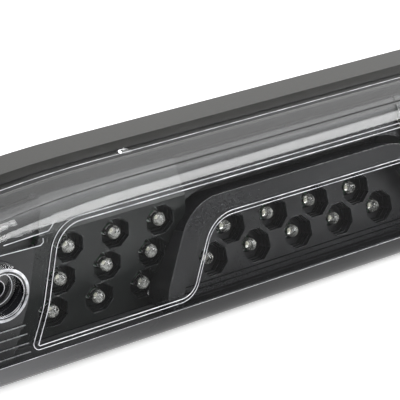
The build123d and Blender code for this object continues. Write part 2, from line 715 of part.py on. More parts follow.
with BuildPart() as right_circuit_board:
    add(side_board(1))

with BuildPart() as centre_circuit_board:
    with BuildSketch(CENTRE_BOARD.offset(-BOARD_THICK)):
        with Locations((0, CENTRE_BOARD_V)):
            RectangleRounded(*CENTRE_BOARD_SIZE, BOARD_CORNER)
        with Locations(*CENTRE_POSTS):
            Circle(BOARD_HOLE_R, mode=Mode.SUBTRACT)
    extrude(amount=BOARD_THICK)

# ---- light bodies and their leads -------------------------------------------------------
with BuildPart() as left_leds:
    add(lights(SIDE_SEAT, well_sites_side(-1)))

with BuildPart() as right_leds:
    add(lights(SIDE_SEAT, well_sites_side(1)))

with BuildPart() as centre_leds:
    add(lights(CENTRE_SEAT, well_sites_centre()))

with BuildPart() as left_led_leads:
    add(light_leads(SIDE_SEAT, well_sites_side(-1)))

with BuildPart() as right_led_leads:
    add(light_leads(SIDE_SEAT, well_sites_side(1)))

with BuildPart() as centre_led_leads:
    add(light_leads(CENTRE_SEAT, well_sites_centre()))

# ---- parts on the rear faces of the boards -----------------------------------------------
with BuildPart() as resistors:
    with BuildSketch(SIDE_BOARD_REAR):
        with Locations(*RESISTOR_SITES):
            Rectangle(*RESISTOR_SIZE[:2])
    extrude(amount=RESISTOR_SIZE[2])
    with BuildSketch(CENTRE_BOARD_REAR):
        with Locations(*CENTRE_RESISTOR_SITES):
            Rectangle(*RESISTOR_SIZE[:2])
    extrude(amount=RESISTOR_SIZE[2])

with BuildPart() as diodes:
    with BuildSketch(SIDE_BOARD_REAR):
        with Locations(*DIODE_SITES):
            Rectangle(*DIODE_SIZE[:2])
    extrude(amount=DIODE_SIZE[2])
    with BuildSketch(CENTRE_BOARD_REAR):
        with Locations(CENTRE_DIODE_SITE):
            Rectangle(*DIODE_SIZE[:2])
    extrude(amount=DIODE_SIZE[2])

with BuildPart() as driver_chip:
    with BuildSketch(CENTRE_BOARD_REAR):
        with Locations(CHIP_SITE):
            Rectangle(*CHIP_SIZE[:2])
    extrude(amount=CHIP_SIZE[2])

with BuildPart() as capacitors:
    with BuildSketch(SIDE_BOARD_REAR):
        with Locations(*CAPACITOR_SITES):
            Circle(CAPACITOR_R)
    extrude(amount=CAPACITOR_HEIGHT)
    with BuildSketch(CENTRE_BOARD_REAR):
        with Locations(CENTRE_CAPACITOR_SITE):
            Circle(CAPACITOR_R)
    extrude(amount=CAPACITOR_HEIGHT)

with BuildPart() as board_connectors:
    with BuildSketch(SIDE_BOARD_REAR):
        with Locations(*[(side * SIDE_CONNECTOR[0], SIDE_CONNECTOR[1]) for side in (-1, 1)]):
            Rectangle(*CONNECTOR_SIZE[:2])
    extrude(amount=CONNECTOR_SIZE[2])
    with BuildSketch(CENTRE_BOARD_REAR):
        with Locations(*[(side * CENTRE_CONNECTOR[0], CENTRE_CONNECTOR[1]) for side in (-1, 1)]):
            Rectangle(*CONNECTOR_SIZE[:2])
    extrude(amount=CONNECTOR_SIZE[2])

with BuildPart() as jumper_wires:
    for side in (-1, 1):
        for shift in (-WIRE_SPACING / 2, WIRE_SPACING / 2):
            start = SIDE_BOARD_REAR.from_local_coords(
                (side * SIDE_CONNECTOR[0] + shift, SIDE_CONNECTOR[1], CONNECTOR_SIZE[2])
            )
            finish = CENTRE_BOARD_REAR.from_local_coords(
                (side * CENTRE_CONNECTOR[0] + shift, CENTRE_CONNECTOR[1], CONNECTOR_SIZE[2])
            )
            with BuildLine() as route:
                FilletPolyline(
                    start,
                    start + WIRE_RISE * SIDE_BOARD_REAR.z_dir,
                    finish + WIRE_RISE * CENTRE_BOARD_REAR.z_dir,
                    finish,
                    radius=WIRE_BEND,
                )
            with BuildSketch(Plane(origin=start, z_dir=SIDE_BOARD_REAR.z_dir)):
                Circle(WIRE_R)
            sweep(path=route.wires()[0])

# ---- screws, grommet and vent --------------------------------------------------------------
with BuildPart() as board_screws:
    add(pan_screws(SIDE_BOARD_REAR.offset(-BOARD_THICK), SIDE_POSTS))
    add(pan_screws(CENTRE_BOARD_REAR.offset(-BOARD_THICK), CENTRE_POSTS))

with BuildPart() as cable_grommet:
    for front_y, rear_y, radius in (
        (BACK_WALL_FRONT_Y - GROMMET_FLANGE, BACK_WALL_FRONT_Y, GROMMET_NECK_R + FLANGE_REACH),
        (BACK_WALL_FRONT_Y, BACK_WALL_REAR_Y, GROMMET_NECK_R),
        (BACK_WALL_REAR_Y, BACK_WALL_REAR_Y + GROMMET_FLANGE, GROMMET_NECK_R + FLANGE_REACH),
    ):
        with BuildSketch(upright(rear_y)):
            with Locations(GROMMET_SITE):
                Circle(radius)
                Circle(GROMMET_BORE_R, mode=Mode.SUBTRACT)
        extrude(amount=rear_y - front_y)

with BuildPart() as breather_vent:
    with BuildSketch(upright(BACK_WALL_REAR_Y)):
        with Locations(VENT_SITE):
            Circle(VENT_NECK_R)
    extrude(amount=BACK_WALL_REAR_Y - BACK_WALL_FRONT_Y)
    with BuildSketch(upright(BACK_WALL_REAR_Y + GROMMET_FLANGE)):
        with Locations(VENT_SITE):
            Circle(VENT_NECK_R + FLANGE_REACH)
            with PolarLocations(VENT_NECK_R, 3, start_angle=90):
                Circle(VENT_PORT_R, mode=Mode.SUBTRACT)
    extrude(amount=GROMMET_FLANGE)

# ---- names and exported solids ---------------------------------------------------------------
outer_lens.part.label = "outer_lens"
cup_seats.part.label = "cup_seats"
housing.part.label = "housing"
rear_gasket.part.label = "rear_gasket"
lens_sealant.part.label = "lens_sealant"
compression_limiters.part.label = "compression_limiters"
tunnel_seals.part.label = "tunnel_seals"
centre_bezel.part.label = "centre_bezel"
upper_trim.part.label = "upper_trim"
lower_trim.part.label = "lower_trim"
left_bezel.part.label = "left_bezel"
right_bezel.part.label = "right_bezel"
left_end_panel.part.label = "left_end_panel"
right_end_panel.part.label = "right_end_panel"
left_circuit_board.part.label = "left_circuit_board"
right_circuit_board.part.label = "right_circuit_board"
centre_circuit_board.part.label = "centre_circuit_board"
left_leds.part.label = "left_leds"
right_leds.part.label = "right_leds"
centre_leds.part.label = "centre_leds"
left_led_leads.part.label = "left_led_leads"
right_led_leads.part.label = "right_led_leads"
centre_led_leads.part.label = "centre_led_leads"
resistors.part.label = "resistors"
diodes.part.label = "diodes"
driver_chip.part.label = "driver_chip"
capacitors.part.label = "capacitors"
board_connectors.part.label = "board_connectors"
jumper_wires.part.label = "jumper_wires"
board_screws.part.label = "board_screws"
cable_grommet.part.label = "cable_grommet"
breather_vent.part.label = "breather_vent"

export_step(outer_lens.part, "parts/outer_lens.step")
export_step(cup_seats.part, "parts/cup_seats.step")
export_step(housing.part, "parts/housing.step")
export_step(rear_gasket.part, "parts/rear_gasket.step")
export_step(lens_sealant.part, "parts/lens_sealant.step")
export_step(compression_limiters.part, "parts/compression_limiters.step")
export_step(tunnel_seals.part, "parts/tunnel_seals.step")
export_step(centre_bezel.part, "parts/centre_bezel.step")
export_step(upper_trim.part, "parts/upper_trim.step")
export_step(lower_trim.part, "parts/lower_trim.step")
export_step(left_bezel.part, "parts/left_bezel.step")
export_step(right_bezel.part, "parts/right_bezel.step")
export_step(left_end_panel.part, "parts/left_end_panel.step")
export_step(right_end_panel.part, "parts/right_end_panel.step")
export_step(left_circuit_board.part, "parts/left_circuit_board.step")
export_step(right_circuit_board.part, "parts/right_circuit_board.step")
export_step(centre_circuit_board.part, "parts/centre_circuit_board.step")
export_step(left_leds.part, "parts/left_leds.step")
export_step(right_leds.part, "parts/right_leds.step")
export_step(centre_leds.part, "parts/centre_leds.step")
export_step(left_led_leads.part, "parts/left_led_leads.step")
export_step(right_led_leads.part, "parts/right_led_leads.step")
export_step(centre_led_leads.part, "parts/centre_led_leads.step")
export_step(resistors.part, "parts/resistors.step")
export_step(diodes.part, "parts/diodes.step")
export_step(driver_chip.part, "parts/driver_chip.step")
export_step(capacitors.part, "parts/capacitors.step")
export_step(board_connectors.part, "parts/board_connectors.step")
export_step(jumper_wires.part, "parts/jumper_wires.step")
export_step(board_screws.part, "parts/board_screws.step")
export_step(cable_grommet.part, "parts/cable_grommet.step")
export_step(breather_vent.part, "parts/breather_vent.step")
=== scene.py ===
import math

import bmesh
import bpy
from mathutils import Matrix, Vector


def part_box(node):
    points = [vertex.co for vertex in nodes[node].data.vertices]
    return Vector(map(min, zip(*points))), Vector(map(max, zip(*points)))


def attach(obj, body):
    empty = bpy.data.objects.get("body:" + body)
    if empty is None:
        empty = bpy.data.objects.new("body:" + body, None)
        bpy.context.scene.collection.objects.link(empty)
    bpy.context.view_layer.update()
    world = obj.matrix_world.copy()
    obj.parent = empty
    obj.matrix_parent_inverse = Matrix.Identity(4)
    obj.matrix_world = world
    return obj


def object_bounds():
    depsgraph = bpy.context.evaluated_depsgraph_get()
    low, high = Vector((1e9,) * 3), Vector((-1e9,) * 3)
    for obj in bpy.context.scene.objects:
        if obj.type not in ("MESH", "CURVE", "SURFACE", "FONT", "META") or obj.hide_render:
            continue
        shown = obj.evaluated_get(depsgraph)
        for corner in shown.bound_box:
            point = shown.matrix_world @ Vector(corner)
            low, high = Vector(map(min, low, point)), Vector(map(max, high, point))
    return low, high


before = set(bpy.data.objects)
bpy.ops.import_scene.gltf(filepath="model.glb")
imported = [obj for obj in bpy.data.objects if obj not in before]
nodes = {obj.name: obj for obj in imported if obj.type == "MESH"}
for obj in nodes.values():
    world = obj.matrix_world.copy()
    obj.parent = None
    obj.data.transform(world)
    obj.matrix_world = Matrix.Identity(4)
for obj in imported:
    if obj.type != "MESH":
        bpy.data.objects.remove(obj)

scene = bpy.context.scene
cad_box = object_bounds()

# ---------------------------------------------------------------- places on the lamp
# Lengths are in millimetres, as in the CAD, unless MM multiplies them into metres.
MM = 0.001
lens_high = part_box("outer_lens")[1]
HALF_LENGTH = lens_high.x / MM
HALF_HEIGHT = lens_high.z / MM
CORNER_TOP, CORNER_BOTTOM = 16.0, 14.0
CROWN_START, CROWN_RADIUS, CROWN_STEPS = 80.0, 435.0, 12

# The lit face is a plane that leans back, and places on it are given along x and up it.
RAKE = math.radians(18.0)
FACE_Y = -56.9
FACE_ORIGIN = Vector((0.0, FACE_Y * MM, 0.0))
FACE_NORMAL = Vector((0.0, -math.cos(RAKE), math.sin(RAKE)))
FACE_UP = Vector((0.0, math.sin(RAKE), math.cos(RAKE)))
FRONT = Vector((0, -1, 0))
SIDEWAYS = Vector((1, 0, 0))

# Raised contour on the lens: corners as (along, up the face, corner radius).
CONTOUR_RISE, CONTOUR_STEP = 0.8, 1.5
LOBE = [(-129.0, -17.0, 2.0), (-121.0, -3.0, 40.0), (-110.8, 24.2, 14.0)]
RECESS = [(-47.5, 9.2, 14.0), (-61.5, -17.0, 10.0)]
RECESS_FLOOR = -21.0
LEDGE_LINE_OUT, LEDGE_DEPTH = 6.7, 8.5

# The lens' chin lies under a crease. Faces that look towards CHIN_AXIS are its inner ones.
CREASE_UP, CREASE_REACH = -19.55, 150
CHIN_TOP, CHIN_REAR_Y, CHIN_END_X = -19.9, -28.0, 160.0
CHIN_AXIS = Vector((0.0, -45.0, -12.0)) * MM

# The skin steps in to a rear flange, which carries a moulding gate.
LENS_STEP_Y, FLANGE_START_Y = -24.8, -26.5
GATE_X, GATE_HALF = -65.0, 3.0

# Fine ridges of the lens ends, as (along, up the face), and the ribs of the panels behind them.
END_RIDGES = (
    ((145.0, 18.4), (131.0, 18.2), (117.4, 17.8), (116.2, 18.6), (116.0, 20.0)),
    ((131.0, 21.3), (122.0, 21.6), (113.4, 21.9), (111.8, 23.2), (110.4, 24.8)),
)
RIB_ALONG = (157.0, 141.0, 124.5)
RIB_UP = (-10.4, -13.6, -16.9, -20.1)
RIB_HALF, RIB_DEPTH = 0.55, 10.3

# Screw cups: the outer wall is found by its radius, from just behind the lens wall on.
# The inner rings stand just clear of the disc at the bottom of the cup.
CUP_X, CUP_Z, CUP_FRONT = 135.0, 4.7, -55.97
CUP_WALL_NEAR, CUP_WALL_FAR, CUP_WALL_START = 9.7, 10.1, 2.5
CUP_INSIDE = CUP_FRONT + 5.4
CUP_RIM = (8.95, 9.75)
CUP_RINGS = ((9.85, CUP_FRONT), (8.05, CUP_FRONT), (6.3, CUP_INSIDE), (3.35, CUP_INSIDE))

# Lights: the dome centres and the well mouths are measured forward from y = 0 for the side
# lights, and back from the lit face for the centre ones. Mesh points within LIGHT_REACH of
# each other belong to the same light.
LIGHT_R, LIGHT_LENGTH, LIGHT_REACH = 2.5, 8.6, 6.2
SIDE_DOME, SIDE_MOUTH, SIDE_WELL_R = 40.0, 41.0, 5.85
CENTRE_DOME, CENTRE_MOUTH, CENTRE_WELL_R = 23.0, 18.6, 6.3
FLANGE_BACK, FLANGE_EDGE_R = 7.55, 2.85
LEAD_SHIFT, LEAD_HEIGHTS = 1.27, (5.4, 4.6)
REFLECTOR_UP, REFLECTOR_SHIFT = 4.4, 0.5
REFLECTOR_FLOOR, DIE_UP = 0.4, 0.5


# ---------------------------------------------------------------- materials
class Tree:
    """A material's node tree with short calls for the nodes used here."""

    def __init__(self, name):
        self.mat = bpy.data.materials.new(name)
        self.mat.use_nodes = True
        self.nt = self.mat.node_tree
        self.bsdf = self.nt.nodes["Principled BSDF"]
        self.out = self.nt.nodes["Material Output"]
        self.coords = self.nt.nodes.new("ShaderNodeTexCoord").outputs["Object"]

    def node(self, kind, **values):
        made = self.nt.nodes.new(kind)
        for key, value in values.items():
            setattr(made, key, value)
        return made

    def link(self, a, b):
        self.nt.links.new(a, b)

    def put(self, socket, value):
        """Give a socket a number, a colour or another node's output."""
        if isinstance(value, (int, float)):
            socket.default_value = value
        elif isinstance(value, tuple):
            socket.default_value = (*value, 1)
        else:
            self.link(value, socket)

    def feed(self, **sockets):
        """Fill the shader's own sockets, named with underscores for spaces."""
        for name, value in sockets.items():
            self.put(self.bsdf.inputs[name.replace("_", " ")], value)

    def stretched(self, scale):
        mapping = self.node("ShaderNodeMapping")
        mapping.inputs["Scale"].default_value = scale
        self.link(self.coords, mapping.inputs["Vector"])
        return mapping.outputs["Vector"]

    def noise(self, scale, detail=4.0, rough=0.5, at=None):
        made = self.node("ShaderNodeTexNoise")
        made.inputs["Scale"].default_value = scale
        made.inputs["Detail"].default_value = detail
        made.inputs["Roughness"].default_value = rough
        self.link(at or self.coords, made.inputs["Vector"])
        return made.outputs["Fac"]

    def cells(self, scale, feature="F1"):
        made = self.node("ShaderNodeTexVoronoi", feature=feature)
        made.inputs["Scale"].default_value = scale
        self.link(self.coords, made.inputs["Vector"])
        return made.outputs["Distance"]

    def ramp(self, value, stops):
        """Colours of two (place, colour) stops, blended by a value."""
        made = self.node("ShaderNodeValToRGB")
        for element, (place, colour) in zip(made.color_ramp.elements, stops):
            element.position = place
            element.color = (*colour, 1)
        self.link(value, made.inputs["Fac"])
        return made.outputs["Color"]

    def between(self, value, low, high, lo=0.0, hi=1.0):
        """A value's range lo to hi, stretched to run from low to high."""
        made = self.node("ShaderNodeMapRange")
        for name, number in (("From Min", lo), ("From Max", hi), ("To Min", low), ("To Max", high)):
            made.inputs[name].default_value = number
        self.link(value, made.inputs["Value"])
        return made.outputs["Result"]

    def calc(self, operation, *terms):
        made = self.node("ShaderNodeMath", operation=operation)
        for socket, term in zip(made.inputs, terms):
            self.put(socket, term)
        return made.outputs[0]

    def add(self, a, b, share=1.0):
        return self.calc("MULTIPLY_ADD", b, share, a)

    def blended(self, value, a, b):
        made = self.node("ShaderNodeMix", data_type="RGBA")
        self.link(value, made.inputs[0])
        self.put(made.inputs[6], a)
        self.put(made.inputs[7], b)
        return made.outputs[2]

    def bump(self, height, distance, strength=1.0):
        made = self.node("ShaderNodeBump")
        made.inputs["Distance"].default_value = distance
        made.inputs["Strength"].default_value = strength
        self.link(height, made.inputs["Height"])
        return made.outputs["Normal"]


def moulded(name, dark, light, rough, grain_scale, grain_depth, shine=0.5):
    """Injection-moulded plastic: fine spark-eroded grain, slow flow marks and a little dust."""
    t = Tree(name)
    flow = t.noise(14.0, 3.0, 0.5, t.stretched((0.35, 1.0, 1.0)))
    grain = t.noise(grain_scale, 3.0, 0.6)
    pits = t.cells(grain_scale * 0.9)
    dust = t.noise(260.0, 6.0, 0.75)
    tone = t.add(t.between(flow, 0.0, 0.7), grain, 0.3)
    base = t.ramp(tone, [(0.25, dark), (0.8, light)])
    speck = t.between(dust, 0.0, 0.35, 0.66, 0.8)
    dusty = tuple(min(1.0, c * 2.2 + 0.02) for c in light)
    t.feed(Base_Color=t.blended(speck, base, dusty))
    t.feed(Roughness=t.between(t.add(flow, grain, 0.5), rough - 0.06, rough + 0.1, 0.4, 1.1))
    height = t.add(grain, pits, 0.6)
    t.feed(Normal=t.bump(height, grain_depth, 0.6), Specular_IOR_Level=shine)
    return t.mat


def let_light_in(t, tint):
    """Lamps shine straight through this clear material on to what is behind it."""
    through = t.node("ShaderNodeBsdfTransparent")
    t.put(through.inputs["Color"], tint)
    path = t.node("ShaderNodeLightPath")
    mix = t.node("ShaderNodeMixShader")
    t.link(path.outputs["Is Shadow Ray"], mix.inputs[0])
    t.link(t.bsdf.outputs[0], mix.inputs[1])
    t.link(through.outputs[0], mix.inputs[2])
    t.link(mix.outputs[0], t.out.inputs["Surface"])


def clear_plastic(name, tint, ior, wave, haze):
    """Clear polycarbonate with faint mould waviness; lamps shine through it."""
    t = Tree(name)
    waves = t.noise(22.0, 2.0, 0.45, t.stretched((0.5, 1.0, 1.6)))
    fine = t.noise(900.0, 3.0, 0.6)
    deeper = tuple(c * 0.985 for c in tint)
    t.feed(Base_Color=t.blended(t.between(waves, 0.0, 0.35, 0.35, 0.7), tint, deeper))
    t.feed(Roughness=t.between(fine, haze * 0.6, haze * 1.5, 0.3, 0.7))
    t.feed(Transmission_Weight=1.0, IOR=ior)
    t.feed(Normal=t.bump(t.add(waves, fine, 0.002), wave, 0.35))
    let_light_in(t, (0.96, 0.965, 0.97))
    return t.mat


def light_body(name, axis, dome_at):
    """Clear epoxy whose domed end is milky in patches; the barrel stays clear.

    The dome's centre lies dome_at metres along the axis."""
    t = Tree(name)
    grain = t.noise(900.0, 3.0, 0.6)
    cloud = t.noise(1300.0, 2.0, 0.7)
    along = t.node("ShaderNodeVectorMath", operation="DOT_PRODUCT")
    along.inputs[1].default_value = axis
    t.link(t.coords, along.inputs[0])
    share = t.between(along.outputs["Value"], 0.0, 1.0, dome_at - 0.0016, dome_at + 0.0010)
    cloudy = t.calc("MULTIPLY", share, t.between(cloud, 0.0, 0.30, 0.46, 0.62))
    clear = t.calc("SUBTRACT", 1.0, cloudy)
    t.feed(Base_Color=t.ramp(grain, [(0.3, (0.93, 0.93, 0.90)), (0.7, (1.0, 1.0, 0.98))]), IOR=1.5)
    t.feed(Transmission_Weight=clear, Roughness=t.between(grain, 0.02, 0.08, 0.3, 0.7))
    t.feed(Normal=t.bump(t.add(grain, cloud, 0.6), 0.00012, 0.5))
    let_light_in(t, (0.93, 0.93, 0.91))
    return t.mat


def metal(name, dark, light, rough, scratch=(1.0, 1.0, 1.0), scale=300.0):
    """Plated or drawn metal with fine directional marks."""
    t = Tree(name)
    marks = t.noise(scale, 5.0, 0.7, t.stretched(scratch))
    cloud = t.noise(40.0, 3.0)
    t.feed(Base_Color=t.ramp(t.add(marks, cloud, 0.5), [(0.45, dark), (1.0, light)]), Metallic=1.0)
    t.feed(Roughness=t.between(marks, rough * 0.7, rough * 1.4, 0.3, 0.7))
    t.feed(Normal=t.bump(marks, 0.00004, 0.5))
    return t.mat


def rubber(name, dark, light, rough, scale, depth):
    """Soft rubber with a matt bloom."""
    t = Tree(name)
    skin = t.noise(scale, 5.0, 0.65)
    bloom = t.noise(30.0, 4.0, 0.6)
    tone = t.add(t.between(bloom, 0.0, 0.7), skin, 0.35)
    t.feed(Base_Color=t.ramp(tone, [(0.2, dark), (0.9, light)]))
    t.feed(Roughness=t.between(skin, rough - 0.05, rough + 0.08, 0.3, 0.7))
    t.feed(Normal=t.bump(skin, depth, 0.6), Sheen_Weight=0.08, Sheen_Roughness=0.5)
    return t.mat


def matt_black_paint_and_shade(name, dark, light):
    """Dead matt black paint with a slightly uneven coat; it also serves as painted shade."""
    t = Tree(name)
    coat = t.noise(60.0, 3.0, 0.5)
    t.feed(Base_Color=t.ramp(coat, [(0.3, dark), (0.7, light)]), Specular_IOR_Level=0.0)
    t.feed(Roughness=t.between(coat, 0.85, 0.95), Normal=t.bump(coat, 0.00001, 0.4))
    return t.mat


def chin_backing_with_painted_reflection(name):
    """Glossy black backing of the chin: deep in the middle, with a painted reflection that makes it greyer
    towards both ends.
    """
    t = Tree(name)
    cloud = t.noise(60.0, 3.0, 0.5)
    along = t.node("ShaderNodeSeparateXYZ")
    t.link(t.coords, along.inputs[0])
    reach = t.calc("ABSOLUTE", along.outputs["X"])
    share = t.between(reach, 0.0, 1.0, 0.075, 0.165)
    deep = t.ramp(cloud, [(0.3, (0.006, 0.006, 0.007)), (0.7, (0.012, 0.012, 0.013))])
    # The lighter grey towards both ends is a painted reflection of the bright floor.
    t.feed(Base_Color=t.blended(share, deep, (0.10, 0.10, 0.105)), Specular_IOR_Level=0.4)
    t.feed(Roughness=t.between(cloud, 0.13, 0.19, 0.3, 0.7), Normal=t.bump(cloud, 0.00001, 0.3))
    return t.mat


def foam(name):
    """Closed-cell gasket foam: cut cells of two sizes."""
    t = Tree(name)
    big, small = t.cells(520.0, "SMOOTH_F1"), t.cells(1300.0)
    cloud = t.noise(60.0, 4.0)
    cell = t.add(big, small, 0.5)
    tone = t.add(cell, cloud, 0.25)
    t.feed(Base_Color=t.ramp(tone, [(0.2, (0.012, 0.012, 0.013)), (0.9, (0.06, 0.06, 0.062))]))
    t.feed(Roughness=t.between(cloud, 0.85, 0.97), Normal=t.bump(cell, 0.0005, 0.9))
    t.feed(Specular_IOR_Level=0.25)
    return t.mat


def board_green(name):
    """Solder mask over copper tracks, which show as paler raised lines."""
    t = Tree(name)
    tracks = t.node("ShaderNodeTexBrick")
    tracks.inputs["Scale"].default_value = 90.0
    tracks.inputs["Mortar Size"].default_value = 0.09
    tracks.inputs["Brick Width"].default_value = 0.9
    tracks.inputs["Row Height"].default_value = 0.35
    turned = t.node("ShaderNodeMapping")
    turned.inputs["Rotation"].default_value = (math.radians(90), 0, 0)
    t.link(t.coords, turned.inputs["Vector"])
    t.link(turned.outputs["Vector"], tracks.inputs["Vector"])
    grain = t.noise(700.0, 3.0)
    line = tracks.outputs["Fac"]
    mask = t.ramp(grain, [(0.3, (0.006, 0.060, 0.022)), (0.7, (0.010, 0.085, 0.032))])
    t.feed(Base_Color=t.blended(line, mask, (0.022, 0.150, 0.055)))
    t.feed(Roughness=t.between(grain, 0.22, 0.38, 0.3, 0.7))
    t.feed(Normal=t.bump(t.add(t.between(line, 0.0, 1.0), grain, 0.08), 0.00006, 0.8))
    return t.mat


def unlit_chip(name):
    """The phosphor of a light that is off: pale yellow-grey."""
    t = Tree(name)
    grain = t.noise(1500.0, 3.0)
    t.feed(Base_Color=t.ramp(grain, [(0.3, (0.50, 0.49, 0.40)), (0.7, (0.74, 0.73, 0.64))]))
    t.feed(Roughness=t.between(grain, 0.35, 0.6), Normal=t.bump(grain, 0.00003, 0.5))
    return t.mat


def painted_highlight_edge(name, share):
    """An edge of clear plastic painted milky white and part see-through: a painted highlight for the light it
    gathers along its length.
    """
    t = Tree(name)
    streak = t.noise(160.0, 3.0, 0.6)
    t.feed(Base_Color=t.ramp(streak, [(0.3, (0.72, 0.73, 0.77)), (0.75, (0.97, 0.97, 1.0))]), IOR=1.5)
    t.feed(Roughness=t.between(streak, 0.12, 0.35))
    t.feed(Alpha=t.between(streak, share - 0.3, share + 0.2, 0.35, 0.65))
    t.feed(Normal=t.bump(streak, 0.00005, 0.4))
    return t.mat


def pale_paper(name, glow):
    """Studio paper that glows a little, as on a light table."""
    t = Tree(name)
    grain = t.noise(40.0, 4.0)
    t.feed(Base_Color=t.ramp(grain, [(0.3, (0.90, 0.90, 0.90)), (0.7, (0.93, 0.93, 0.93))]))
    t.feed(Roughness=0.9, Specular_IOR_Level=0.1)
    t.feed(Emission_Color=(1.0, 1.0, 1.0), Emission_Strength=glow)
    return t.mat


# Clear plastics.
lens_clear = clear_plastic("lens_clear_polycarbonate", (0.975, 0.982, 0.985), 1.50, 0.00035, 0.012)
side_light_clear = light_body("side_light_epoxy", FRONT, SIDE_DOME * MM)
centre_light_clear = light_body(
    "centre_light_epoxy", FACE_NORMAL, FACE_ORIGIN.dot(FACE_NORMAL) - CENTRE_DOME * MM
)
# Near-white, part see-through edge materials: painted highlights on the lens edges, the cup rims and the
# flanges of the lights.
edge_highlight_paint = painted_highlight_edge("lens_edge_painted_highlight", 0.72)
rear_highlight_paint = painted_highlight_edge("lens_rear_edge_painted_highlight", 0.95)
rim_highlight_paint = painted_highlight_edge("lens_cup_rim_edge", 0.60)

# Black mouldings and coats.
housing_black = moulded(
    "housing_black_grained", (0.050, 0.050, 0.047), (0.085, 0.084, 0.080), 0.32, 1500.0, 0.00004, 0.6
)
blackout = matt_black_paint_and_shade("lens_inner_blackout", (0.010, 0.010, 0.012), (0.024, 0.024, 0.027))
chin_backing_and_painted_reflection = chin_backing_with_painted_reflection("lens_chin_backing_painted_reflection")
# Darker, dead matt black for the upward faces of the black trim: painted shade.
upward_matt_painted_shade = matt_black_paint_and_shade("trim_upward_painted_shade", (0.004, 0.004, 0.0045), (0.010, 0.010, 0.011))
# Light grey for the front edges of the panel ribs: a painted highlight.
rib_painted_highlight = moulded(
    "panel_rib_edges_painted_highlight", (0.12, 0.12, 0.125), (0.24, 0.24, 0.25), 0.25, 900.0, 0.00001, 1.0
)
# Lighter grey than the bezels: a painted highlight on the rounded edges of the ledge and of the wells.
ledge_painted_highlight = moulded(
    "ledge_edge_painted_highlight", (0.022, 0.022, 0.023), (0.050, 0.050, 0.052), 0.22, 900.0, 0.00001, 1.0
)
bezel_black = moulded(
    "bezel_black_satin", (0.005, 0.005, 0.006), (0.011, 0.011, 0.012), 0.26, 2200.0, 0.0000015
)
lobe_black = moulded(
    "lobe_black_satin", (0.006, 0.007, 0.007), (0.014, 0.016, 0.015), 0.27, 2200.0, 0.000002, 0.35
)
trim_black = moulded(
    "trim_black_satin", (0.008, 0.008, 0.009), (0.018, 0.018, 0.019), 0.30, 2200.0, 0.0000015
)
panel_black = moulded(
    "panel_black_fine_grain", (0.009, 0.009, 0.010), (0.020, 0.020, 0.021), 0.38, 1800.0, 0.00001
)

# Metals.
steel = metal("sleeve_zinc_plate", (0.42, 0.43, 0.44), (0.68, 0.69, 0.70), 0.28)
screw_steel = metal("screw_black_zinc", (0.16, 0.16, 0.17), (0.34, 0.34, 0.35), 0.30)
tinned = metal("lead_bright_tin", (0.55, 0.55, 0.54), (0.80, 0.80, 0.79), 0.22, (1, 1, 6), 500.0)
aluminium = metal("can_drawn_aluminium", (0.52, 0.53, 0.54), (0.78, 0.79, 0.80), 0.26, (1, 8, 1), 260.0)
cup_silver = metal("led_cup_silver", (0.22, 0.22, 0.21), (0.82, 0.82, 0.80), 0.18, (1, 1, 1), 1100.0)

# Seals.
foam_black = foam("gasket_foam_black")
butyl = rubber("sealant_grey_butyl", (0.07, 0.07, 0.072), (0.14, 0.14, 0.145), 0.42, 500.0, 0.00012)
seal_rubber = rubber(
    "seal_rubber_black", (0.012, 0.012, 0.012), (0.030, 0.030, 0.030), 0.62, 900.0, 0.00008
)
grommet_rubber = rubber(
    "grommet_rubber_black", (0.014, 0.014, 0.014), (0.036, 0.036, 0.037), 0.58, 1100.0, 0.0001
)

# Boards and what is on them.
green = board_green("board_solder_mask")
ceramic = moulded(
    "chip_resistor_glaze", (0.012, 0.012, 0.014), (0.030, 0.030, 0.034), 0.25, 3000.0, 0.00002
)
epoxy = moulded("chip_body_epoxy", (0.014, 0.014, 0.015), (0.034, 0.034, 0.036), 0.50, 2600.0, 0.00005)
white_nylon = moulded(
    "connector_natural_nylon", (0.62, 0.60, 0.53), (0.78, 0.76, 0.69), 0.42, 1500.0, 0.00003
)
wire_pvc = moulded("wire_black_pvc", (0.010, 0.010, 0.011), (0.024, 0.024, 0.026), 0.40, 900.0, 0.00003)
vent_grey = moulded("vent_grey_plastic", (0.10, 0.10, 0.105), (0.18, 0.18, 0.185), 0.50, 1600.0, 0.00006)
phosphor = unlit_chip("led_phosphor")

FINISH = {
    "outer_lens": lens_clear, "cup_seats": lens_clear, "housing": housing_black,
    "rear_gasket": foam_black, "lens_sealant": butyl, "compression_limiters": steel,
    "tunnel_seals": seal_rubber, "centre_bezel": bezel_black, "upper_trim": trim_black,
    "left_bezel": lobe_black, "right_bezel": lobe_black, "lower_trim": trim_black,
    "left_end_panel": panel_black, "right_end_panel": panel_black,
    "left_circuit_board": green, "right_circuit_board": green, "centre_circuit_board": green,
    "left_leds": side_light_clear, "right_leds": side_light_clear, "centre_leds": centre_light_clear,
    "left_led_leads": tinned, "right_led_leads": tinned, "centre_led_leads": tinned,
    "resistors": ceramic, "diodes": epoxy, "driver_chip": epoxy, "capacitors": aluminium,
    "board_connectors": white_nylon, "jumper_wires": wire_pvc, "board_screws": screw_steel,
    "cable_grommet": grommet_rubber, "breather_vent": vent_grey,
}
UPWARD_PAINTED_SHADE = ("left_bezel", "right_bezel", "upper_trim", "centre_bezel", "left_end_panel", "right_end_panel")


def finish_nodes():
    """Every CAD piece gets its finish in place of the plain one."""
    for name, finish in FINISH.items():
        mesh = nodes[name].data
        mesh.materials.clear()
        mesh.materials.append(finish)


